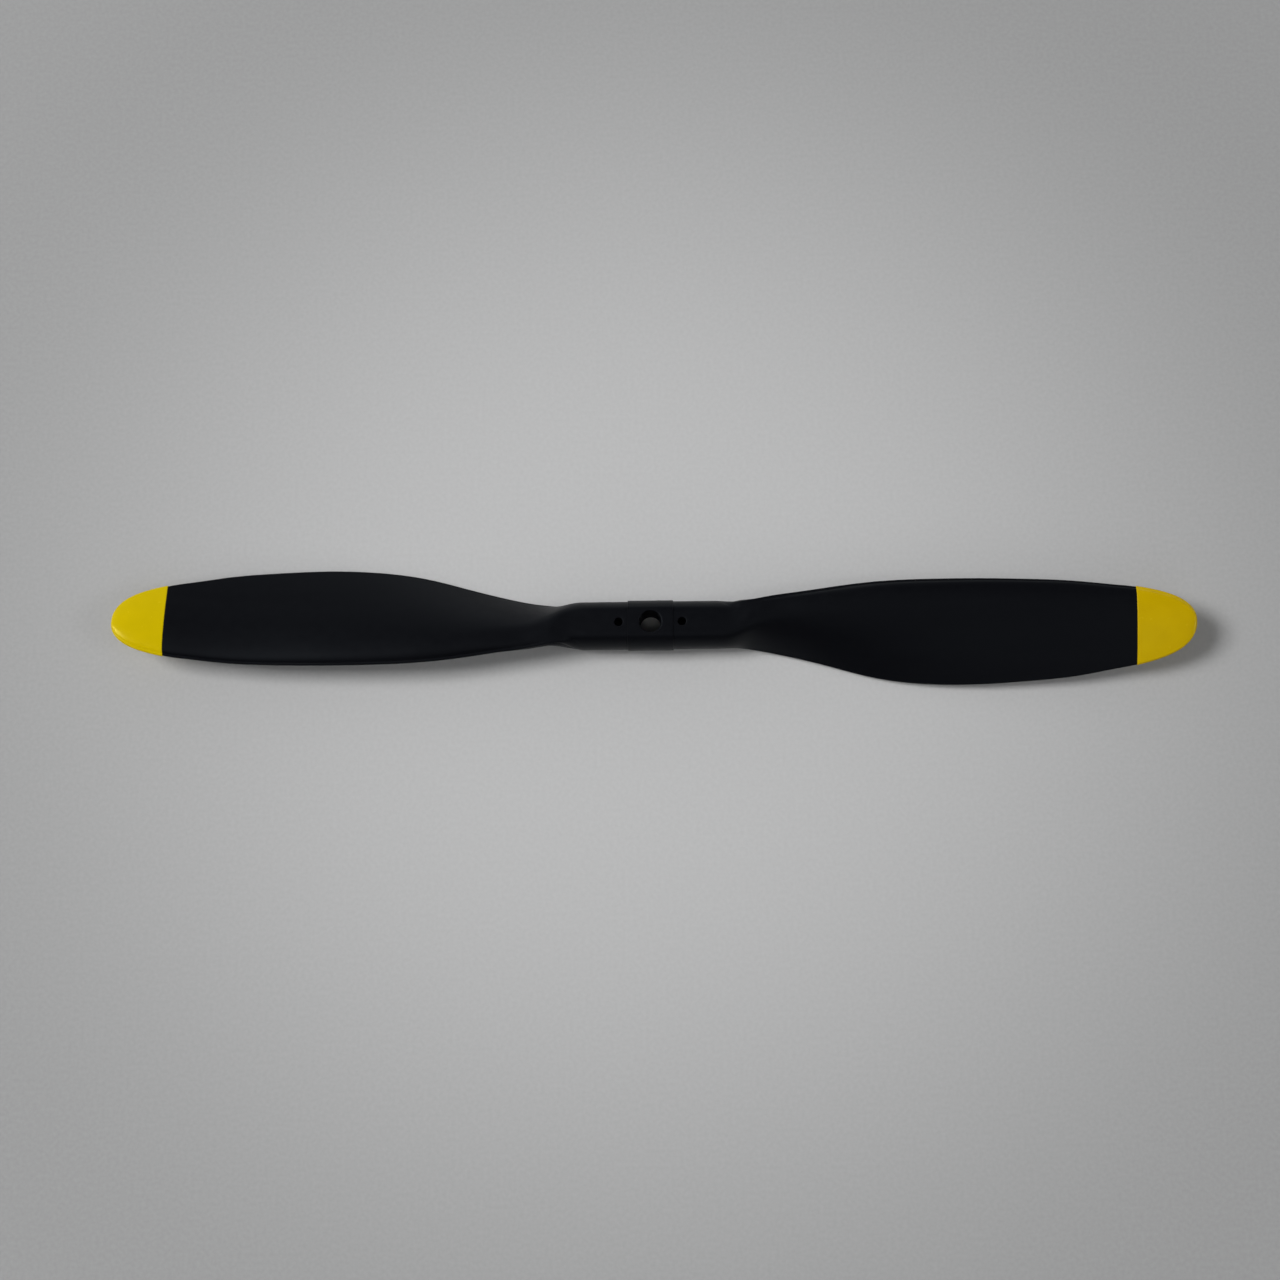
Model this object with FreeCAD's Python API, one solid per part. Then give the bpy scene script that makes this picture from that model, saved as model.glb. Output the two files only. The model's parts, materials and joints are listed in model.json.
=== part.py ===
"""Two-blade model aircraft propeller, 12 inch diameter and 6 inch pitch.

Frame: the bore axis is Z and the blades lie along X. The origin is the centre
of the hub's rear face, which sits against the drive flange. +Z looks forward,
so the propeller turns counter-clockwise seen from +Z, with the leading edge of
the +X blade towards +Y. All sizes are in millimetres.
"""
import FreeCAD, Part

import math
import os

Vector = FreeCAD.Vector

# ---------------------------------------------------------------- hub
HUB_THICKNESS = 11.8          # between the clamping faces of the centre band
AXIS_HEIGHT = HUB_THICKNESS / 2
BARREL_RADIUS = 6.8
BARREL_FLAT = 5.6             # height of the barrel's flats above its axis
BARREL_HALF_LENGTH = 18.0     # the blades start here
BAND_RADIUS = 7.1
BAND_LENGTH = 12.8
BORE_RADIUS = 3.05            # 6 mm shaft with clearance
BORE_CHAMFER = 0.35
RECESS_RADIUS = 4.0           # seat for the shoulder of the prop adaptor
RECESS_DEPTH = 2.8
SCREW_HOLE_RADIUS = 1.15      # clearance for an M2 screw
SCREW_HOLE_SPACING = 17.8
SCREW_HOLE_CHAMFER = 0.2

# ---------------------------------------------------------------- blade
TIP_RADIUS = 152.2
PITCH = 152.4
PITCH_LIMIT_RADIUS = 9.0      # keeps the blade angle finite near the hub
EDGE_RADIUS = 0.55            # leading and trailing edges are full rounds
TWIST_FROM = 26.0             # the sections follow the pitch from here on
ROOT_END = 30.0               # the round shank has become a blade here
RAMP_START = 22.0             # the front flat rises from here, clear of the blade's bulge
RAMP_END = 44.0
RAMP_RISE = 2.2
TIP_ROUNDING = 20.0           # length over which the outline closes
TIP_OFFSET = -1.5             # the tip lies a little behind the blade axis

# Stations along the blade: distance from the bore axis, leading edge ahead of
# the blade axis, trailing edge behind it, thickness beyond that of the edges,
# and how far the section's middle stands forward of the barrel's axis.
STATIONS = [
    (18.0, 5.4, 7.1, 8.3, 0.5),
    (26.0, 5.5, 6.4, 6.7, 1.9),
    (34.0, 7.0, 7.5, 5.2, 0.7),
    (42.0, 8.1, 9.3, 4.8, 0.5),
    (52.0, 9.5, 12.0, 4.1, 0.4),
    (64.0, 10.8, 15.2, 3.4, 0.5),
    (78.0, 11.35, 17.1, 2.9, 0.8),
    (92.0, 11.4, 17.5, 2.5, 1.2),
    (106.0, 11.1, 16.9, 2.1, 1.5),
    (120.0, 10.3, 15.7, 1.8, 2.0),
    (134.0, 8.7, 13.5, 1.6, 3.1),
    (152.2, 9.0, 14.4, 1.8, 5.0),
]
SYMMETRIC_UNTIL = 26.0        # sections are as full behind as in front up to here
FLAT_BACK_FROM = 70.0         # and have a nearly flat back from here on
FLAT_BACK_SHARE = 0.9         # share of the thickness that is then in front
SWELLING_SCALE = 1.5 * math.sqrt(3.0)   # makes the fullest point, a third back, equal 1
SECTION_COUNT = 52            # sections from the hub to the tip
SECTION_CROWDING = 1.35       # above 1, the sections stand closer together near the hub
POINTS_PER_FACE = 26          # points along each face of a section
SMALLEST_EDGE = 0.02          # edge radius left at the tip, and length of the flat that closes it
LARGEST_EDGE_SHARE = 0.499    # of the chord, so that some plate stays between the round edges

# ---------------------------------------------------------------- paint
RIGHT_PAINT_START = 135.8     # distance of the paint line from the bore axis
LEFT_PAINT_START = 137.3      # each tip is masked by hand, so the two lines differ
PAINT_THICKNESS = 0.2


def curve_along_blade(column, next_column):
    """A smooth curve through two columns of the stations.

    Its parameter is the distance from the bore axis, and a point on it holds
    that distance and the two columns' values there.
    """
    curve = Part.BSplineCurve()
    points = [Vector(row[0], row[column], row[next_column]) for row in STATIONS]
    distances = [row[0] for row in STATIONS]
    curve.interpolate(Points=points, Parameters=distances)
    return curve


OUTLINE_CURVE = curve_along_blade(1, 2)
SHAPE_CURVE = curve_along_blade(3, 4)


def smooth_step(value):
    value = min(1.0, max(0.0, value))
    return value * value * (3.0 - 2.0 * value)


def quarter_round(distance, radius):
    """Height of a full-round edge at a distance in from its outermost point."""
    inside = min(distance, radius)
    return math.sqrt(max(0.0, radius ** 2 - (radius - inside) ** 2))


def blade_angle(distance):
    """Angle of the chord to the plane of rotation, fading out in the round shank."""
    full = math.atan(PITCH / (2 * math.pi * math.hypot(distance, PITCH_LIMIT_RADIUS)))
    return full * smooth_step((distance - BARREL_HALF_LENGTH) / (TWIST_FROM - BARREL_HALF_LENGTH))


def outline(distance, coat):
    """Leading and trailing offsets, with the tip closed as half an ellipse."""
    offsets = OUTLINE_CURVE.value(min(distance, TIP_RADIUS))
    rounding = TIP_ROUNDING + coat
    into_tip = max(0.0, (distance - (TIP_RADIUS + coat - rounding)) / rounding)
    width = math.sqrt(max(0.0, 1.0 - into_tip ** 2))
    leading = TIP_OFFSET + (offsets.y + coat - TIP_OFFSET) * width
    trailing = TIP_OFFSET - (offsets.z + coat + TIP_OFFSET) * width
    return leading, trailing, width


def section_points(distance, coat=0.0):
    """Closed loop of points round the blade at a distance from the bore axis.

    The section is a plate with round edges, swollen mostly on its front face
    and tilted to the blade angle. Towards the hub it turns into a circle.
    """
    leading, trailing, width = outline(distance, coat)
    shape = SHAPE_CURVE.value(min(distance, TIP_RADIUS))
    thickness = shape.y * width
    flatness = smooth_step((distance - SYMMETRIC_UNTIL) / (FLAT_BACK_FROM - SYMMETRIC_UNTIL))
    front_share = 0.5 + (FLAT_BACK_SHARE - 0.5) * flatness
    angle = blade_angle(distance)
    chord = (leading - trailing) / math.cos(angle)
    edge = min(EDGE_RADIUS + coat, LARGEST_EDGE_SHARE * chord)
    edge = max(SMALLEST_EDGE, quarter_round(TIP_RADIUS + coat - distance, edge))
    plate = chord - 2 * edge
    roundness = 1.0 - smooth_step((distance - BARREL_HALF_LENGTH) / (ROOT_END - BARREL_HALF_LENGTH))
    middle = (1.0 - roundness) * (leading + trailing) / 2
    forward = (1.0 - roundness) * shape.z

    points = []
    for index in range(2 * POINTS_PER_FACE):
        turn = math.pi * index / POINTS_PER_FACE
        from_leading = chord * (1.0 - math.cos(turn)) / 2
        from_edge = min(from_leading, chord - from_leading)
        inward = min(1.0, max(0.0, (from_leading - edge) / plate))
        swelling = thickness * SWELLING_SCALE * math.sqrt(inward) * (1.0 - inward)
        if turn < math.pi:
            height = quarter_round(from_edge, edge) + swelling * front_share
        else:
            height = -quarter_round(from_edge, edge) - swelling * (1.0 - front_share)
        along = (1.0 - roundness) * (chord / 2 - from_leading) + roundness * BARREL_RADIUS * math.cos(turn)
        across = (1.0 - roundness) * height + roundness * BARREL_RADIUS * math.sin(turn)
        y = middle + along * math.cos(angle) - across * math.sin(angle)
        z = forward + along * math.sin(angle) + across * math.cos(angle)
        points.append(Vector(distance, y, AXIS_HEIGHT + z))
    return points


def section_distances(start, end):
    """Distances that are close together at the hub and closer still at the tip."""
    shares = [(index / (SECTION_COUNT - 1)) ** SECTION_CROWDING for index in range(SECTION_COUNT)]
    return [start + (end - start) * math.sin(math.pi / 2 * share) for share in shares]


def blade_skin(start, coat=0.0):
    """A closed solid through the blade's sections, from one distance to the tip."""
    distances = section_distances(start, TIP_RADIUS + coat - SMALLEST_EDGE)
    steps = list(range(2 * POINTS_PER_FACE + 1))
    rings = []
    for distance in distances:
        ring = Part.BSplineCurve()
        ring.interpolate(Points=section_points(distance, coat), Parameters=steps, PeriodicFlag=True)
        rings.append(ring)
    rows = []
    for poles in zip(*[ring.getPoles() for ring in rings]):
        rail = Part.BSplineCurve()
        rail.interpolate(Points=list(poles), Parameters=list(range(SECTION_COUNT)))
        rows.append(rail.getPoles())
    surface = Part.BSplineSurface()
    surface.buildFromPolesMultsKnots(
        rows, ring.getMultiplicities(), rail.getMultiplicities(),
        ring.getKnots(), rail.getKnots(), True, False, 3, 3)
    side = surface.toShape()
    rims = [edge for edge in side.Edges if abs(edge.BoundBox.XLength) < 0.001]
    ends = [Part.Face(Part.Wire([rim])) for rim in rims]
    solid = Part.Solid(Part.Shell([side] + ends))
    solid.fix(0.001, 0.001, 0.001)
    return solid


def slab(half_height):
    """The space between two faces parallel to the hub's clamping faces."""
    reach = 2 * BARREL_HALF_LENGTH
    corner = Vector(-reach, -reach, AXIS_HEIGHT - half_height)
    return Part.makeBox(2 * reach, 2 * reach, 2 * half_height, corner)


def rod_along_blades(radius, half_length):
    start = Vector(-half_length, 0, AXIS_HEIGHT)
    return Part.makeCylinder(radius, 2 * half_length, start, Vector(1, 0, 0))


def countersink(radius, chamfer, x, face_height, direction):
    """The cone that breaks a hole's edge at one face."""
    top = Vector(x, 0, face_height)
    return Part.makeCone(radius + chamfer, radius, chamfer, top, Vector(0, 0, -direction))


def make_hub():
    barrel = rod_along_blades(BARREL_RADIUS, BARREL_HALF_LENGTH).common(slab(BARREL_FLAT))
    band = rod_along_blades(BAND_RADIUS, BAND_LENGTH / 2).common(slab(AXIS_HEIGHT))
    hub = barrel.fuse(band)

    tools = [Part.makeCylinder(BORE_RADIUS, HUB_THICKNESS)]
    tools.append(countersink(BORE_RADIUS, BORE_CHAMFER, 0, HUB_THICKNESS, 1))
    tools.append(Part.makeCylinder(RECESS_RADIUS, RECESS_DEPTH))
    for side in (-1, 1):
        x = side * SCREW_HOLE_SPACING / 2
        tools.append(Part.makeCylinder(SCREW_HOLE_RADIUS, HUB_THICKNESS, Vector(x, 0, 0)))
        for direction in (-1, 1):
            face = AXIS_HEIGHT + direction * BARREL_FLAT
            tools.append(countersink(SCREW_HOLE_RADIUS, SCREW_HOLE_CHAMFER, x, face, direction))
    for tool in tools:
        hub = hub.cut(tool)
    return hub.removeSplitter()


def room_for_blade():
    """The space between the barrel's flats; ahead of the blade it rises out of the way."""
    front = AXIS_HEIGHT + BARREL_FLAT
    rear = AXIS_HEIGHT - BARREL_FLAT
    end = TIP_RADIUS + 1
    side = 2 * BARREL_HALF_LENGTH
    corners = [
        (0, rear),
        (0, front),
        (RAMP_START, front),
        (RAMP_END, front + RAMP_RISE),
        (end, front + RAMP_RISE),
        (end, rear),
        (0, rear),
    ]
    profile = Part.makePolygon([Vector(x, -side, z) for x, z in corners])
    return Part.Face(profile).extrude(Vector(0, 2 * side, 0))


def make_blade():
    return blade_skin(BARREL_HALF_LENGTH).common(room_for_blade())


def make_tip_paint(blade, start):
    return blade_skin(start, PAINT_THICKNESS).cut(blade)


def other_side(shape):
    """The same piece on the opposite side of the bore."""
    turned = shape.copy()
    turned.rotate(Vector(0, 0, 0), Vector(0, 0, 1), 180)
    return turned


def main():
    os.makedirs("parts", exist_ok=True)
    blade = make_blade()
    nodes = {
        "hub": make_hub(),
        "right_blade": blade,
        "left_blade": other_side(blade),
        "right_tip_paint": make_tip_paint(blade, RIGHT_PAINT_START),
        "left_tip_paint": other_side(make_tip_paint(blade, LEFT_PAINT_START)),
    }
    for name, shape in nodes.items():
        shape.exportStep("parts/" + name + ".step")
        box = shape.BoundBox
        print(name, shape.isValid(), len(shape.Solids), round(shape.Volume, 1),
              [round(v, 2) for v in (box.XMin, box.XMax, box.YMin, box.YMax, box.ZMin, box.ZMax)])


main()
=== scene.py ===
"""Looks of a two-blade model aircraft propeller that lies on its hub's rear face.

Frame: metres. The bore axis is Z and the blades lie along X. The origin is the
centre of the hub's rear face, and +Z looks forward. The black moulding is one
smooth skin from tip to tip around the CAD hub and blades, and a coat of yellow
paint covers each tip.
"""

import json
import math

import bmesh
import bpy
import numpy as np
from mathutils import Matrix, Vector


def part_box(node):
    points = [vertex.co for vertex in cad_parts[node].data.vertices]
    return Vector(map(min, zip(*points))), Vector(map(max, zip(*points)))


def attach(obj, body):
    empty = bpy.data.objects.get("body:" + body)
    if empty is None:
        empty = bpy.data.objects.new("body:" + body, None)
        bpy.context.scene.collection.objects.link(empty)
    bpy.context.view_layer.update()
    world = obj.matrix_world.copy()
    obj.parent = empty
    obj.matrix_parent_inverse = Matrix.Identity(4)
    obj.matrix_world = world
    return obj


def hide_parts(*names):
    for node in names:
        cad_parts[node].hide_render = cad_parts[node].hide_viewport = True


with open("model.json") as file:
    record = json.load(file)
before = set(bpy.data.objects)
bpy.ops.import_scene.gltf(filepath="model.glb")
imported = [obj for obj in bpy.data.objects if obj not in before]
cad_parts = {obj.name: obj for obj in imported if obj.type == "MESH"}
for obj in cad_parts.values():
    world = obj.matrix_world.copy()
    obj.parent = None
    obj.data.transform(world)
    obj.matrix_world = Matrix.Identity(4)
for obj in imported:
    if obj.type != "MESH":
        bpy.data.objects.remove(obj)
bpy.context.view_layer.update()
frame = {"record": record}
MM = 0.001

# ---------------------------------------------------------------- sizes, from the frame
hub_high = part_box("hub")[1]
blade_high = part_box("right_blade")[1]
right_paint_low, right_paint_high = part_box("right_tip_paint")
left_paint_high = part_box("left_tip_paint")[1]
mounts = {mount["name"]: mount for mount in frame["record"]["mounts"]}
shaft_bore = mounts["shaft_bore"]["dims"]
screw_holes = mounts["screw_holes"]["dims"]

AXIS_HEIGHT = hub_high.z / 2
BARREL_HALF_LENGTH = hub_high.x
TIP_RADIUS = blade_high.x
PAINT_STARTS = {1: right_paint_low.x, -1: -left_paint_high.x}
PAINT_THICKNESS = right_paint_high.x - blade_high.x
BORE_CHAMFER = 0.35 * MM      # at the front, and left out of the mount's length
BORE_RADIUS = shaft_bore["r_mm"] * MM
RECESS_DEPTH = hub_high.z - shaft_bore["length_mm"] * MM - BORE_CHAMFER
SCREW_HOLE_RADIUS = screw_holes["hole_r_mm"] * MM
SCREW_HOLE_SPACING = screw_holes["spacing_x_mm"] * MM

# ---------------------------------------------------------------- sizes, as in the CAD
BARREL_RADIUS = 6.8 * MM
BARREL_FLAT = 5.6 * MM
BAND_RADIUS = 7.1 * MM
BAND_HALF_LENGTH = 6.4 * MM
RECESS_RADIUS = 4.0 * MM
PITCH = 152.4 * MM
PITCH_LIMIT_RADIUS = 9.0 * MM # keeps the blade angle from growing too steep near the bore
EDGE_RADIUS = 0.55 * MM
TWIST_FROM = 26.0 * MM        # the twist is full from here outwards
ROOT_END = 30.0 * MM          # where the round shank has become a blade section
RAMP_START = 22.0 * MM        # beyond here the limit of the front flat rises
RAMP_SLOPE = 0.1
TIP_ROUNDING = 20.0 * MM
TIP_OFFSET = -1.5 * MM        # of the tip's point from the blade axis
SYMMETRIC_UNTIL = 26.0 * MM   # sections are as thick behind as in front up to here,
FLAT_BACK_FROM = 70.0 * MM    # and nearly flat behind from here
FLAT_BACK_SHARE = 0.9         # of the thickness, on the front
SWELLING_SCALE = 1.5 * math.sqrt(3.0)     # makes sqrt(x) * (1 - x) peak at 1

# Distance from the bore axis, leading edge ahead of the blade axis, trailing
# edge behind it, thickness beyond that of the edges, and forward rake.
STATIONS = MM * np.array([
    (18.0, 5.4, 7.1, 8.3, 0.5),
    (26.0, 5.5, 6.4, 6.7, 1.9),
    (34.0, 7.0, 7.5, 5.2, 0.7),
    (42.0, 8.1, 9.3, 4.8, 0.5),
    (52.0, 9.5, 12.0, 4.1, 0.4),
    (64.0, 10.8, 15.2, 3.4, 0.5),
    (78.0, 11.35, 17.1, 2.9, 0.8),
    (92.0, 11.4, 17.5, 2.5, 1.2),
    (106.0, 11.1, 16.9, 2.1, 1.5),
    (120.0, 10.3, 15.7, 1.8, 2.0),
    (134.0, 8.7, 13.5, 1.6, 3.1),
    (152.2, 9.0, 14.4, 1.8, 5.0),
])

# ---------------------------------------------------------------- mesh detail
BAND_CORNER = 0.35 * MM       # softens the corners between the band's flats and its round sides
BARREL_CORNER = 0.6 * MM      # the same on the barrel beside the band
CORNER_GROWTH = 0.14          # how fast those corners open out along the root
WIDEST_CORNER = 2.2 * MM
RAMP_EASE = 4.0 * MM          # softens the start of the ramp
STEP_ROUNDING = 0.16 * MM     # at the shoulders of the band
BORE_ROUNDING = 0.45 * MM     # takes the place of the CAD's chamfer
SCREW_HOLE_ROUNDING = 0.3 * MM
COAT_OVERLAP = 0.03 * MM      # how far the coat's inside reaches below the moulding's skin
LARGEST_EDGE_SHARE = 0.499    # of the chord, so that the two edges never meet
SMALLEST_SIZE = 1e-7          # keeps divisions safe where a section closes
SMALLEST_GAP = 1e-6           # between neighbouring sections

LOOP_POINTS = 144             # round each section
HOLE_POINTS = 96              # round each hole
RIM_POINTS = 9                # across the rounded rim of a hole
SHOULDER_POINTS = 7           # across a shoulder of the band
LIP_POINTS = 7                # across the lip of the paint
TIP_TURNS = 64                # sections in a whole tip
HUB_STEP = 0.9 * MM           # between sections
SHANK_STEP = 0.45 * MM
BLADE_STEP = 1.1 * MM
SHANK_END = 44.0 * MM

RIM_RUN_OUT = 0.1 * MM        # a hole's tool leaves the face at this shallow slope
RIM_LIFT = 0.002 * MM
TOOL_FLARE = 0.15 * MM        # and widens to this much beyond the rim
TOOL_OVERSHOOT = 1.0 * MM     # where it ends, clear of the face

NEVER_SHARP = math.radians(180)
TOOL_SHARP_ANGLE = math.radians(30)
HOLE_SHARP_ANGLE = math.radians(32)
COAT_SHARP_ANGLE = math.radians(50)

# ---------------------------------------------------------------- finishes
NOISE_RANGE = (0.3, 0.7)      # where nearly all values of a noise texture lie
BLACK_SHADES = ((0.0018, 0.0018, 0.0028, 1), (0.0025, 0.0026, 0.0037, 1))
BLACK_ROUGHNESS = (0.36, 0.44)
# One yellow paint on both tips; the right tip's pair is darker and more orange as painted shade,
# standing in for how the light falls on it.
LEFT_YELLOWS = ((0.605, 0.446, 0.0, 1), (0.645, 0.476, 0.0, 1))
RIGHT_YELLOWS_WITH_PAINTED_SHADE = ((0.530, 0.352, 0.0, 1), (0.565, 0.378, 0.0, 1))
YELLOW_ROUGHNESS = (0.20, 0.28)
FLOOR_PAINTED_LIGHT_REACH = (0.04, 0.24)     # metres from the hub over which the floor's painted light falls off
FLOOR_PAINTED_LIGHT_TONES = (0.552, 0.36)
FLOOR_GRAIN = (-0.015, 0.015)

# ---------------------------------------------------------------- light, floor and camera
# Name, direction from the hub, distance, width and depth, watts, whether it
# lights the pieces, and whether it shows in their gloss.
LIGHTS = [
    ("key_light", (-0.85, 0.15, 1.0), 3.0, (1.1, 1.1), 69.6, True, False),
    ("key_gloss", (-0.85, 0.15, 1.0), 3.0, (1.1, 1.1), 46.0, False, True),
    ("right_fill", (0.95, -0.30, 0.9), 2.5, (0.6, 0.6), 6.0, True, True),
    ("ceiling_lamp", (0.0, -0.36, 0.93), 2.0, (0.3, 0.3), 1.5, True, False),
    ("front_fill", (0.1, -0.8, 0.6), 2.5, (1.2, 1.2), 3.6, True, False),
    ("ceiling_panel", (0.1, -0.40, 0.91), 2.5, (1.8, 2.4), 3.4, False, True),
]
ROOM_COLOUR = (0.96, 0.98, 1.0, 1)
WALL_LIGHT = 0.70             # at the horizon
WALL_FALLOFF = 2.5            # how fast that fades upwards
OVERHEAD_LIGHT = 0.07         # straight up
OVERHEAD_GAIN = 0.3           # from there down to the horizon
NEAR_SIDE_SLOPE = 0.95        # how much darker the room is towards -Y
NEAR_SIDE_LEAST = 0.12
FLOOR_REACH = 30.0

CAMERA_TILT = math.radians(11.8)      # towards the trailing side of the right blade
CAMERA_TURN = math.radians(1.64)      # towards the right blade
CAMERA_ROLL = math.radians(-0.35)
CAMERA_DISTANCE = 0.622
HUB_RIGHT_OF_CENTRE = 0.0030          # where the hub lies in the picture, in metres
HUB_ABOVE_CENTRE = 0.00407
CAMERA_LENS = 61.875
SENSOR_WIDTH = 36.0
CLIP_START = 0.01


def smooth_step(value):
    """Eases from 0 to 1 while the value goes from 0 to 1, and stays level outside that."""
    value = np.clip(value, 0.0, 1.0)
    return value * value * (3.0 - 2.0 * value)


def quarter_round(distance, radius):
    """Height of a rounded edge at a distance inwards from where it starts."""
    inside = np.minimum(distance, radius)
    return np.sqrt(np.maximum(0.0, radius ** 2 - (radius - inside) ** 2))


def spline_tangents(places, values):
    """Slopes of the cubic spline whose ends follow the cubics through four points."""
    steps = np.diff(places)
    slopes = np.diff(values) / steps
    count = len(places)
    matrix = np.eye(count)
    right = np.zeros(count)
    for end, part in ((0, slice(0, 4)), (-1, slice(-4, None))):
        cubic = np.polyfit(places[part] - places[end], values[part], 3)
        right[end] = cubic[2]
    for index in range(1, count - 1):
        before, after = 1 / steps[index - 1], 1 / steps[index]
        matrix[index, index - 1:index + 2] = before, 2 * (before + after), after
        right[index] = 3 * (slopes[index - 1] * before + slopes[index] * after)
    return np.linalg.solve(matrix, right)


STATION_TANGENTS = [spline_tangents(STATIONS[:, 0], STATIONS[:, column]) for column in range(5)]


def station_value(column, distance):
    """A column of the stations at any distance from the bore axis."""
    places, values, tangents = STATIONS[:, 0], STATIONS[:, column], STATION_TANGENTS[column]
    distance = min(max(distance, places[0]), places[-1])
    index = min(int(np.searchsorted(places, distance, side="right")) - 1, len(places) - 2)
    step = places[index + 1] - places[index]
    t = (distance - places[index]) / step
    rise = values[index + 1] - values[index]
    bend = (1 - t) * (tangents[index] * step - rise) - t * (tangents[index + 1] * step - rise)
    return values[index] + t * rise + t * (1 - t) * bend


def blade_angle(distance):
    """The angle that gives the pitch, eased in from nothing at the barrel's end."""
    full = math.atan(PITCH / (2 * math.pi * math.hypot(distance, PITCH_LIMIT_RADIUS)))
    return full * smooth_step((distance - BARREL_HALF_LENGTH) / (TWIST_FROM - BARREL_HALF_LENGTH))


def outline(distance, coat):
    """Leading and trailing offsets, with the tip closed as half an ellipse."""
    rounding = TIP_ROUNDING + coat
    into_tip = max(0.0, (distance - (TIP_RADIUS + coat - rounding)) / rounding)
    width = math.sqrt(max(0.0, 1.0 - into_tip ** 2))
    leading = TIP_OFFSET + (station_value(1, distance) + coat - TIP_OFFSET) * width
    trailing = TIP_OFFSET - (station_value(2, distance) + coat + TIP_OFFSET) * width
    return leading, trailing, width


def soft_limit(heights, front, rear, blend):
    """Heights above the axis held between two flats, with a blend instead of a corner."""
    limit = np.where(heights > 0, front, rear)
    size = np.abs(heights)
    over = np.clip(size - (limit - blend), 0.0, 2 * blend)
    eased = np.minimum(size, limit - blend) + over - over ** 2 / (4 * blend)
    return np.sign(heights) * eased


def blade_section(distance, turns, coat):
    """Points round the blade at a distance from the bore axis, at the given turns.

    The coat is how far the points stand outside the moulding's own skin.
    """
    leading, trailing, width = outline(distance, coat)
    thickness = station_value(3, distance) * width
    flatness = smooth_step((distance - SYMMETRIC_UNTIL) / (FLAT_BACK_FROM - SYMMETRIC_UNTIL))
    front_share = 0.5 + (FLAT_BACK_SHARE - 0.5) * flatness
    angle = blade_angle(distance)
    chord = (leading - trailing) / math.cos(angle)
    edge = min(EDGE_RADIUS + coat, LARGEST_EDGE_SHARE * chord)
    edge = max(SMALLEST_SIZE, float(quarter_round(TIP_RADIUS + coat - distance, edge)))
    plate = max(SMALLEST_SIZE, chord - 2 * edge)
    into_root = (distance - BARREL_HALF_LENGTH) / (ROOT_END - BARREL_HALF_LENGTH)
    roundness = 1.0 - smooth_step(into_root)
    middle = (1.0 - roundness) * (leading + trailing) / 2
    forward = (1.0 - roundness) * station_value(4, distance)

    from_leading = chord * (1.0 - np.cos(turns)) / 2
    from_edge = np.minimum(from_leading, chord - from_leading)
    inward = np.clip((from_leading - edge) / plate, 0.0, 1.0)
    swelling = thickness * SWELLING_SCALE * np.sqrt(inward) * (1.0 - inward)
    rim = quarter_round(from_edge, edge)
    front = np.sin(turns) >= 0
    height = np.where(front, rim + swelling * front_share, -rim - swelling * (1.0 - front_share))
    round_radius = roundness * BARREL_RADIUS
    along = (1.0 - roundness) * (chord / 2 - from_leading) + round_radius * np.cos(turns)
    across = (1.0 - roundness) * height + round_radius * np.sin(turns)
    y = middle + along * math.cos(angle) - across * math.sin(angle)
    z = forward + along * math.sin(angle) + across * math.cos(angle)
    past_start = max(0.0, distance - RAMP_START)
    ramp = RAMP_SLOPE * past_start ** 2 / (past_start + RAMP_EASE)
    corner = BARREL_CORNER + CORNER_GROWTH * (distance - BARREL_HALF_LENGTH)
    z = soft_limit(z, BARREL_FLAT + ramp, BARREL_FLAT, min(corner, WIDEST_CORNER))
    return np.column_stack([np.full_like(y, distance), y, AXIS_HEIGHT + z])


def band_share(distance):
    """1 on the band, 0 on the barrel beside it, with a rounded shoulder between."""
    return float(smooth_step(0.5 + (BAND_HALF_LENGTH - distance) / STEP_ROUNDING))


def hub_section(distance, turns):
    """Points round the barrel, or round the band that stands proud of it."""
    share = band_share(distance)
    radius = BARREL_RADIUS + share * (BAND_RADIUS - BARREL_RADIUS)
    flat = BARREL_FLAT + share * (AXIS_HEIGHT - BARREL_FLAT)
    y = radius * np.cos(turns)
    corner = BARREL_CORNER + share * (BAND_CORNER - BARREL_CORNER)
    z = soft_limit(radius * np.sin(turns), flat, flat, corner)
    return np.column_stack([np.full_like(y, distance), y, AXIS_HEIGHT + z])


def spread(start, end, step):
    """Evenly spaced distances from start up to, but not including, end."""
    return np.linspace(start, end, max(2, round((end - start) / step) + 1))[:-1]


def tip_distances(start, tip):
    """Distances that close a rounded tip evenly, up to the tip's last point."""
    turns = np.linspace(0.0, math.pi / 2, TIP_TURNS + 1)
    closing = tip - TIP_ROUNDING + TIP_ROUNDING * np.sin(turns)
    return closing[closing > start + SMALLEST_GAP]


def blade_turns(side):
    """Turns round a section, so that a loop's points line up from blade to blade."""
    turns = 2 * math.pi * np.arange(LOOP_POINTS) / LOOP_POINTS
    return turns if side > 0 else math.pi - turns


def placed(points, side):
    """Points of the right blade, or the same points turned onto the left one."""
    return points * np.array([side, side, 1.0])


def add_loops(mesh, loops):
    """A closed skin through loops of points; a loop of one point closes an end."""
    rings = [[mesh.verts.new(point) for point in loop] for loop in loops]
    for ring, after in zip(rings, rings[1:]):
        count = max(len(ring), len(after))
        for index in range(count):
            following = (index + 1) % count
            corners = [ring[index % len(ring)], ring[following % len(ring)],
                       after[following % len(after)], after[index % len(after)]]
            mesh.faces.new(list(dict.fromkeys(corners)))
    bmesh.ops.recalc_face_normals(mesh, faces=mesh.faces)


def to_object(mesh, name, sharp_angle):
    """A new object from a bmesh, smooth but for edges sharper than the angle."""
    data = bpy.data.meshes.new(name)
    mesh.to_mesh(data)
    mesh.free()
    data.polygons.foreach_set("use_smooth", [True] * len(data.polygons))
    data.set_sharp_from_angle(angle=sharp_angle)
    piece = bpy.data.objects.new(name, data)
    bpy.context.scene.collection.objects.link(piece)
    return piece


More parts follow.
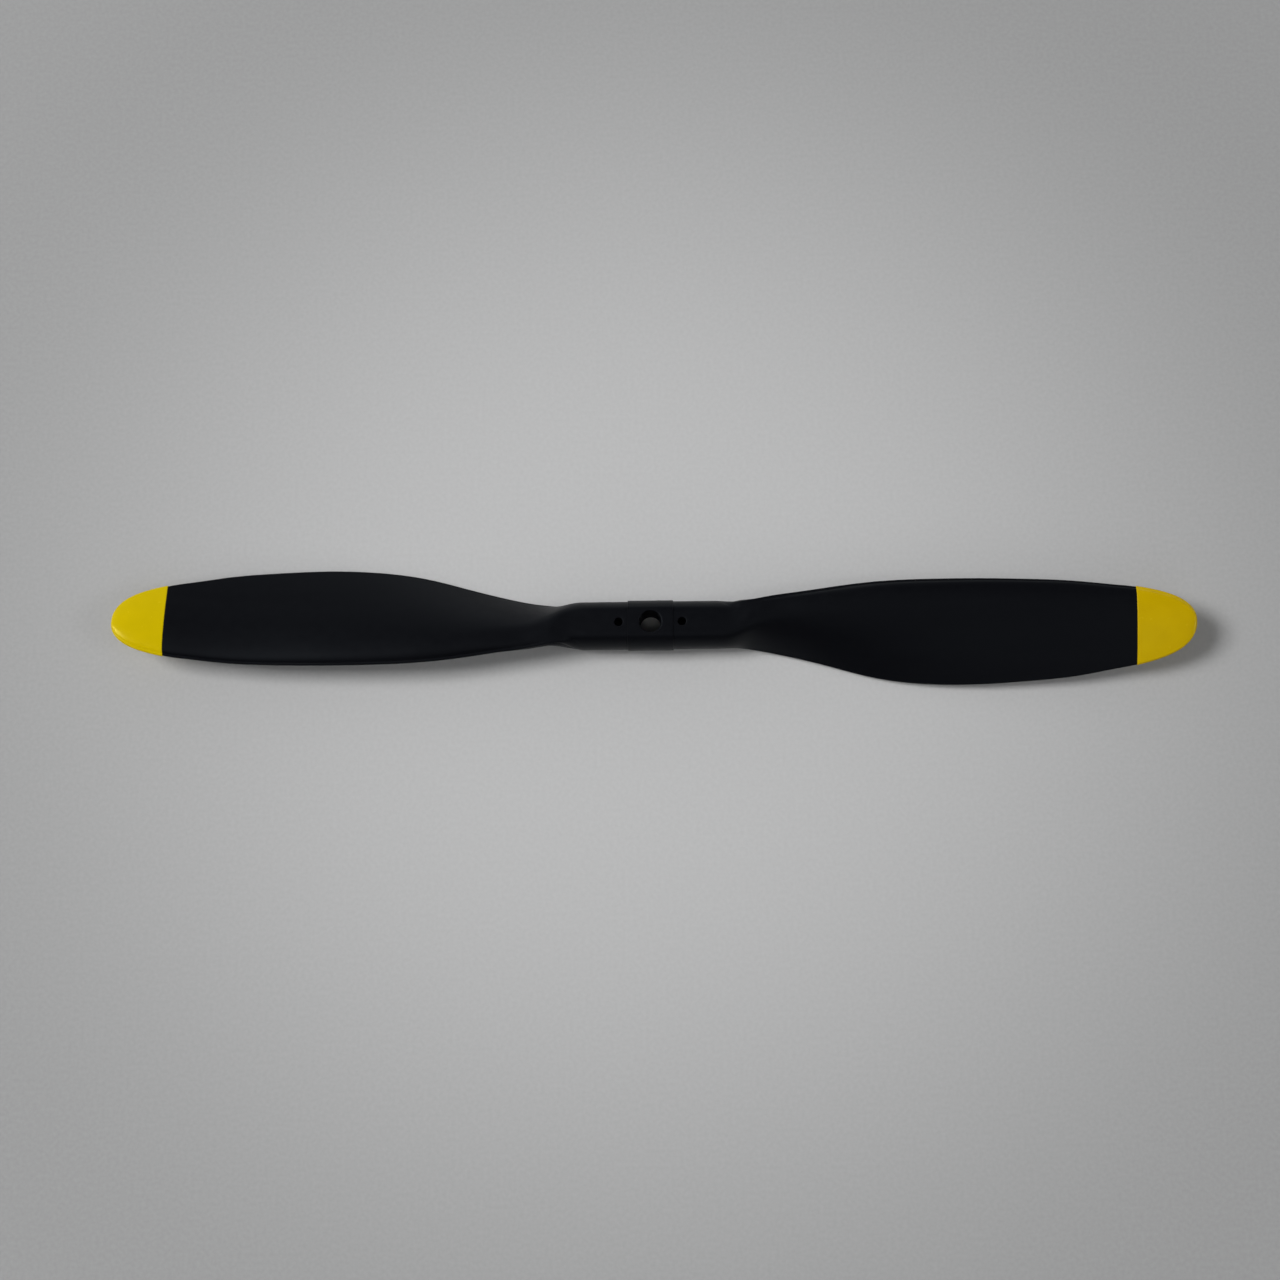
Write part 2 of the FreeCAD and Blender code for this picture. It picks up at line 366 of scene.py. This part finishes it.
# ---------------------------------------------------------------- the moulding
def half_loops(side):
    """Loops from beside the hub's middle to the point of one tip."""
    turns = blade_turns(side)
    shoulder = BAND_HALF_LENGTH + STEP_ROUNDING * np.linspace(-0.5, 0.5, SHOULDER_POINTS)
    hub = [*spread(HUB_STEP, shoulder[0], HUB_STEP), *shoulder,
           *spread(shoulder[-1] + HUB_STEP / 2, BARREL_HALF_LENGTH, HUB_STEP)]
    shank = spread(BARREL_HALF_LENGTH, SHANK_END, SHANK_STEP)
    blade = spread(SHANK_END, TIP_RADIUS - TIP_ROUNDING, BLADE_STEP)
    tip = [TIP_RADIUS - TIP_ROUNDING, *tip_distances(TIP_RADIUS - TIP_ROUNDING, TIP_RADIUS)]
    loops = [hub_section(distance, turns) for distance in hub]
    loops += [blade_section(distance, turns, 0.0) for distance in [*shank, *blade, *tip[:-1]]]
    loops.append(blade_section(TIP_RADIUS, turns, 0.0).mean(axis=0, keepdims=True))
    return [placed(loop, side) for loop in loops]


def make_moulding():
    middle = hub_section(0.0, blade_turns(1))
    mesh = bmesh.new()
    add_loops(mesh, [*reversed(half_loops(-1)), middle, *half_loops(1)])
    return to_object(mesh, "black_moulding", NEVER_SHARP)


def turned_tool(name, profile, x):
    """A solid of revolution about a vertical line, from (radius, height) points."""
    turns = 2 * math.pi * np.arange(HOLE_POINTS) / HOLE_POINTS
    ring = np.column_stack([np.cos(turns), np.sin(turns), np.zeros(HOLE_POINTS)])
    loops = [ring * (radius, radius, 1.0) + (x, 0.0, height) for radius, height in profile]
    low, high = profile[0][1], profile[-1][1]
    mesh = bmesh.new()
    add_loops(mesh, [[(x, 0.0, low)], *loops, [(x, 0.0, high)]])
    return to_object(mesh, name, TOOL_SHARP_ANGLE)


def rounded_rim(radius, rounding, face, direction):
    """Profile of a round-edged hole where it meets a face, from the hole outwards."""
    turns = np.linspace(0.0, math.pi / 2, RIM_POINTS)
    outwards = radius + rounding * (1.0 - np.cos(turns))
    depths = rounding * (1.0 - np.sin(turns))
    points = [(out, face - direction * depth) for out, depth in zip(outwards, depths)]
    points.append((radius + rounding + RIM_RUN_OUT, face + direction * RIM_LIFT))
    points.append((radius + rounding + TOOL_FLARE, face + direction * TOOL_OVERSHOOT))
    return points


def cut(piece, tool):
    """Cuts the tool out of the piece and removes the tool."""
    modifier = piece.modifiers.new("cut", "BOOLEAN")
    modifier.operation = "DIFFERENCE"
    modifier.solver = "EXACT"
    modifier.object = tool
    graph = bpy.context.evaluated_depsgraph_get()
    carved = bpy.data.meshes.new_from_object(piece.evaluated_get(graph))
    piece.modifiers.remove(modifier)
    piece.data = carved
    bpy.data.objects.remove(tool)


def cut_holes(moulding):
    top, bottom = 2 * AXIS_HEIGHT, 0.0
    recess = [(RECESS_RADIUS, bottom - TOOL_OVERSHOOT), (RECESS_RADIUS, RECESS_DEPTH)]
    bore = [(BORE_RADIUS, RECESS_DEPTH)] + rounded_rim(BORE_RADIUS, BORE_ROUNDING, top, 1)
    cut(moulding, turned_tool("bore_tool", recess + bore, 0.0))
    front_face, rear_face = AXIS_HEIGHT + BARREL_FLAT, AXIS_HEIGHT - BARREL_FLAT
    front = rounded_rim(SCREW_HOLE_RADIUS, SCREW_HOLE_ROUNDING, front_face, 1)
    rear = rounded_rim(SCREW_HOLE_RADIUS, SCREW_HOLE_ROUNDING, rear_face, -1)
    for side in (-1, 1):
        x = side * SCREW_HOLE_SPACING / 2
        cut(moulding, turned_tool("screw_tool", rear[::-1] + front, x))
    moulding.data.set_sharp_from_angle(angle=HOLE_SHARP_ANGLE)


# ---------------------------------------------------------------- the painted tips
def make_tip_paint(name, side):
    """A closed coat over one tip, with a rounded lip at the paint line."""
    turns = blade_turns(side)
    start = PAINT_STARTS[side]
    tip = TIP_RADIUS + PAINT_THICKNESS
    loops = [[blade_section(TIP_RADIUS, turns, 0.0).mean(axis=0) - (COAT_OVERLAP, 0, 0)]]
    inner = [start, *tip_distances(start, TIP_RADIUS - COAT_OVERLAP)[:-1]]
    loops += [blade_section(distance, turns, -COAT_OVERLAP) for distance in reversed(inner)]
    for turn in np.linspace(0.0, math.pi / 2, LIP_POINTS):
        distance = start + PAINT_THICKNESS * (1 - math.cos(turn))
        loops.append(blade_section(distance, turns, PAINT_THICKNESS * math.sin(turn)))
    outer = tip_distances(start + PAINT_THICKNESS, tip)[:-1]
    loops += [blade_section(distance, turns, PAINT_THICKNESS) for distance in outer]
    loops.append([blade_section(tip, turns, PAINT_THICKNESS).mean(axis=0)])
    mesh = bmesh.new()
    add_loops(mesh, [placed(np.array(loop), side) for loop in loops])
    return to_object(mesh, name, COAT_SHARP_ANGLE)


# ---------------------------------------------------------------- nodes
def feed(tree, socket, value):
    """Links a socket to another node's output, or sets it to a plain value."""
    if isinstance(value, bpy.types.NodeSocket):
        tree.links.new(value, socket)
    else:
        socket.default_value = value


def coordinates_of(tree, kind):
    """Texture coordinates: "Object" for a piece, "Generated" for the world."""
    return tree.nodes.new("ShaderNodeTexCoord").outputs[kind]


def split_axes(tree, coordinates):
    """The X, Y and Z outputs of a set of texture coordinates."""
    node = tree.nodes.new("ShaderNodeSeparateXYZ")
    feed(tree, node.inputs["Vector"], coordinates)
    return node.outputs


def calculated(tree, operation, *values, clamp=False):
    """A sum, product or other result of numbers and outputs."""
    node = tree.nodes.new("ShaderNodeMath")
    node.operation = operation
    node.use_clamp = clamp
    for socket, value in zip(node.inputs, values):
        feed(tree, socket, value)
    return node.outputs["Value"]


def noise(tree, place, scale, stretch=(1, 1, 1), detail=3.0, roughness=0.5):
    """A noise texture in the object's own metres."""
    mapping = tree.nodes.new("ShaderNodeMapping")
    mapping.inputs["Scale"].default_value = stretch
    feed(tree, mapping.inputs["Vector"], place)
    texture = tree.nodes.new("ShaderNodeTexNoise")
    texture.inputs["Scale"].default_value = scale
    texture.inputs["Detail"].default_value = detail
    texture.inputs["Roughness"].default_value = roughness
    feed(tree, texture.inputs["Vector"], mapping.outputs["Vector"])
    return texture.outputs["Fac"]


def spread_range(tree, value, source, target, interpolation="LINEAR"):
    """Maps a value from one range onto another."""
    node = tree.nodes.new("ShaderNodeMapRange")
    node.interpolation_type = interpolation
    node.inputs["From Min"].default_value, node.inputs["From Max"].default_value = source
    node.inputs["To Min"].default_value, node.inputs["To Max"].default_value = target
    feed(tree, node.inputs["Value"], value)
    return node.outputs["Result"]


def mixed_colour(tree, share, first, second):
    """A mix of two colours, each a plain colour or another node's output."""
    node = tree.nodes.new("ShaderNodeMix")
    node.data_type = "RGBA"
    feed(tree, node.inputs["Factor"], share)
    feed(tree, node.inputs["A"], first)
    feed(tree, node.inputs["B"], second)
    return node.outputs["Result"]


def bump(tree, height, distance, strength, below=None):
    """Bumps of the given height, on top of those below."""
    node = tree.nodes.new("ShaderNodeBump")
    node.inputs["Strength"].default_value = strength
    node.inputs["Distance"].default_value = distance
    feed(tree, node.inputs["Height"], height)
    if below is not None:
        feed(tree, node.inputs["Normal"], below)
    return node.outputs["Normal"]


# ---------------------------------------------------------------- materials
def new_material(name):
    """A new material, its node tree, and the inputs of its shader."""
    material = bpy.data.materials.new(name)
    material.use_nodes = True
    tree = material.node_tree
    return material, tree, tree.nodes["Principled BSDF"].inputs


def black_nylon():
    """Satin moulded nylon: faint flow marks along the blades and a fine grain."""
    material, tree, shader = new_material("black_nylon")
    place = coordinates_of(tree, "Object")
    flow = noise(tree, place, scale=160.0, stretch=(0.12, 1.0, 1.0), detail=4.0)
    mottle = noise(tree, place, scale=420.0, detail=5.0, roughness=0.6)
    grain = noise(tree, place, scale=4200.0, detail=2.0)
    waviness = noise(tree, place, scale=60.0, stretch=(0.5, 1.0, 1.0), detail=1.0)

    shade = spread_range(tree, flow, NOISE_RANGE, (0.0, 1.0))
    slow = bump(tree, waviness, distance=0.05 * MM, strength=0.35)
    fine = bump(tree, grain, distance=0.006 * MM, strength=0.5, below=slow)
    feed(tree, shader["Base Color"], mixed_colour(tree, shade, *BLACK_SHADES))
    feed(tree, shader["Roughness"], spread_range(tree, mottle, NOISE_RANGE, BLACK_ROUGHNESS))
    feed(tree, shader["Normal"], fine)
    shader["Specular IOR Level"].default_value = 0.14
    shader["Specular Tint"].default_value = (0.80, 0.90, 1.0, 1)
    return material


def yellow_paint():
    """Semi-gloss enamel with a little orange peel; the right tip's yellow is painted darker and
    more orange, as painted shade.
    """
    material, tree, shader = new_material("yellow_paint")
    place = coordinates_of(tree, "Object")
    cloud = noise(tree, place, scale=180.0, detail=3.0)
    peel = noise(tree, place, scale=900.0, detail=2.0)
    mottle = noise(tree, place, scale=500.0, detail=4.0)

    tips = (-PAINT_STARTS[-1], PAINT_STARTS[1])
    # Share of painted shade: none at the left tip, full at the right tip.
    right_tip_painted_shade = spread_range(tree, split_axes(tree, place)["X"], tips, (0.0, 1.0))
    shade = spread_range(tree, cloud, NOISE_RANGE, (0.0, 1.0))
    left = mixed_colour(tree, shade, *LEFT_YELLOWS)
    right = mixed_colour(tree, shade, *RIGHT_YELLOWS_WITH_PAINTED_SHADE)
    feed(tree, shader["Base Color"], mixed_colour(tree, right_tip_painted_shade, left, right))
    feed(tree, shader["Roughness"], spread_range(tree, mottle, NOISE_RANGE, YELLOW_ROUGHNESS))
    feed(tree, shader["Normal"], bump(tree, peel, distance=0.012 * MM, strength=0.35))
    shader["Specular IOR Level"].default_value = 0.40
    shader["Specular Tint"].default_value = (1.0, 0.90, 0.25, 1)
    return material


def pale_floor():
    """Matt paper with a painted pool of light: brightest at the hub and darker away from it."""
    material, tree, shader = new_material("pale_floor")
    place = coordinates_of(tree, "Object")
    fibres = noise(tree, place, scale=900.0, detail=3.0)
    grain = spread_range(tree, fibres, NOISE_RANGE, FLOOR_GRAIN)
    from_hub = tree.nodes.new("ShaderNodeVectorMath")
    from_hub.operation = "LENGTH"
    feed(tree, from_hub.inputs[0], place)
    distance = from_hub.outputs["Value"]
    # Painted light: the floor's colour falls off with distance from the hub, like a pool of
    # light.
    painted_light_falloff = spread_range(tree, distance, FLOOR_PAINTED_LIGHT_REACH, FLOOR_PAINTED_LIGHT_TONES, interpolation="SMOOTHSTEP")
    feed(tree, shader["Base Color"], calculated(tree, "ADD", painted_light_falloff, grain))
    shader["Roughness"].default_value = 0.9
    shader["Specular IOR Level"].default_value = 0.2
    return material


# ---------------------------------------------------------------- stage
def make_floor():
    square = ((-1, -1), (1, -1), (1, 1), (-1, 1))
    corners = [(x * FLOOR_REACH, y * FLOOR_REACH, 0) for x, y in square]
    data = bpy.data.meshes.new("floor")
    data.from_pydata(corners, [], [(0, 1, 2, 3)])
    data.materials.append(pale_floor())
    floor = bpy.data.objects.new("floor", data)
    bpy.context.scene.collection.objects.link(floor)


def make_light(name, towards, distance, size, power, lights_pieces, shows_in_gloss):
    """An area light that faces the hub."""
    data = bpy.data.lights.new(name, "AREA")
    data.shape = "RECTANGLE"
    data.size, data.size_y = size
    data.energy = power
    light = bpy.data.objects.new(name, data)
    direction = Vector(towards).normalized()
    light.location = direction * distance
    light.rotation_euler = direction.to_track_quat("Z", "Y").to_euler()
    light.visible_diffuse = lights_pieces
    light.visible_glossy = shows_in_gloss
    bpy.context.scene.collection.objects.link(light)


def make_room():
    """Dim overhead, bright towards the horizon, and dark on the side of the person at work."""
    world = bpy.data.worlds.new("room")
    world.use_nodes = True
    tree = world.node_tree
    axes = split_axes(tree, coordinates_of(tree, "Generated"))
    lowness = calculated(tree, "SUBTRACT", 1.0, axes["Z"], clamp=True)
    fading = calculated(tree, "POWER", lowness, WALL_FALLOFF)
    walls = calculated(tree, "MULTIPLY", fading, WALL_LIGHT)
    ceiling = calculated(tree, "MULTIPLY_ADD", lowness, OVERHEAD_GAIN, OVERHEAD_LIGHT)
    light = calculated(tree, "ADD", walls, ceiling)
    far_side = calculated(tree, "MULTIPLY_ADD", axes["Y"], NEAR_SIDE_SLOPE, 1.0)
    lifted = calculated(tree, "MAXIMUM", far_side, NEAR_SIDE_LEAST)
    share = calculated(tree, "MINIMUM", lifted, 1.0)
    background = tree.nodes["Background"].inputs
    feed(tree, background["Strength"], calculated(tree, "MULTIPLY", light, share))
    background["Color"].default_value = ROOM_COLOUR
    bpy.context.scene.world = world


def make_camera():
    """A camera above the hub, tilted, turned and rolled by a few degrees."""
    tilt, turn = CAMERA_TILT, CAMERA_TURN
    sideways, forward = math.sin(turn) * math.cos(tilt), math.cos(turn) * math.cos(tilt)
    back = Vector((sideways, -math.sin(tilt), forward)).normalized()
    level = (-back).cross(Vector((0, 1, 0))).normalized()
    upright = level.cross(-back)
    right = math.cos(CAMERA_ROLL) * level + math.sin(CAMERA_ROLL) * upright
    up = math.cos(CAMERA_ROLL) * upright - math.sin(CAMERA_ROLL) * level
    aim = Vector((0, 0, AXIS_HEIGHT)) - right * HUB_RIGHT_OF_CENTRE - up * HUB_ABOVE_CENTRE
    data = bpy.data.cameras.new("camera")
    data.lens = CAMERA_LENS
    data.sensor_width = SENSOR_WIDTH
    data.clip_start = CLIP_START
    camera = bpy.data.objects.new("camera", data)
    axes = Matrix((right, up, back)).transposed().to_4x4()
    camera.matrix_world = Matrix.Translation(aim + back * CAMERA_DISTANCE) @ axes
    bpy.context.scene.collection.objects.link(camera)
    bpy.context.scene.camera = camera


# ---------------------------------------------------------------- build
moulding = make_moulding()
cut_holes(moulding)
moulding.data.materials.append(black_nylon())
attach(moulding, "root")
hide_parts("hub", "left_blade", "right_blade")

paint = yellow_paint()
for side, word in ((1, "right"), (-1, "left")):
    coat = make_tip_paint(word + "_tip_coat", side)
    coat.data.materials.append(paint)
    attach(coat, "root")
    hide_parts(word + "_tip_paint")

make_floor()
for light in LIGHTS:
    make_light(*light)
make_room()
make_camera()
bpy.context.scene.view_settings.view_transform = "Standard"
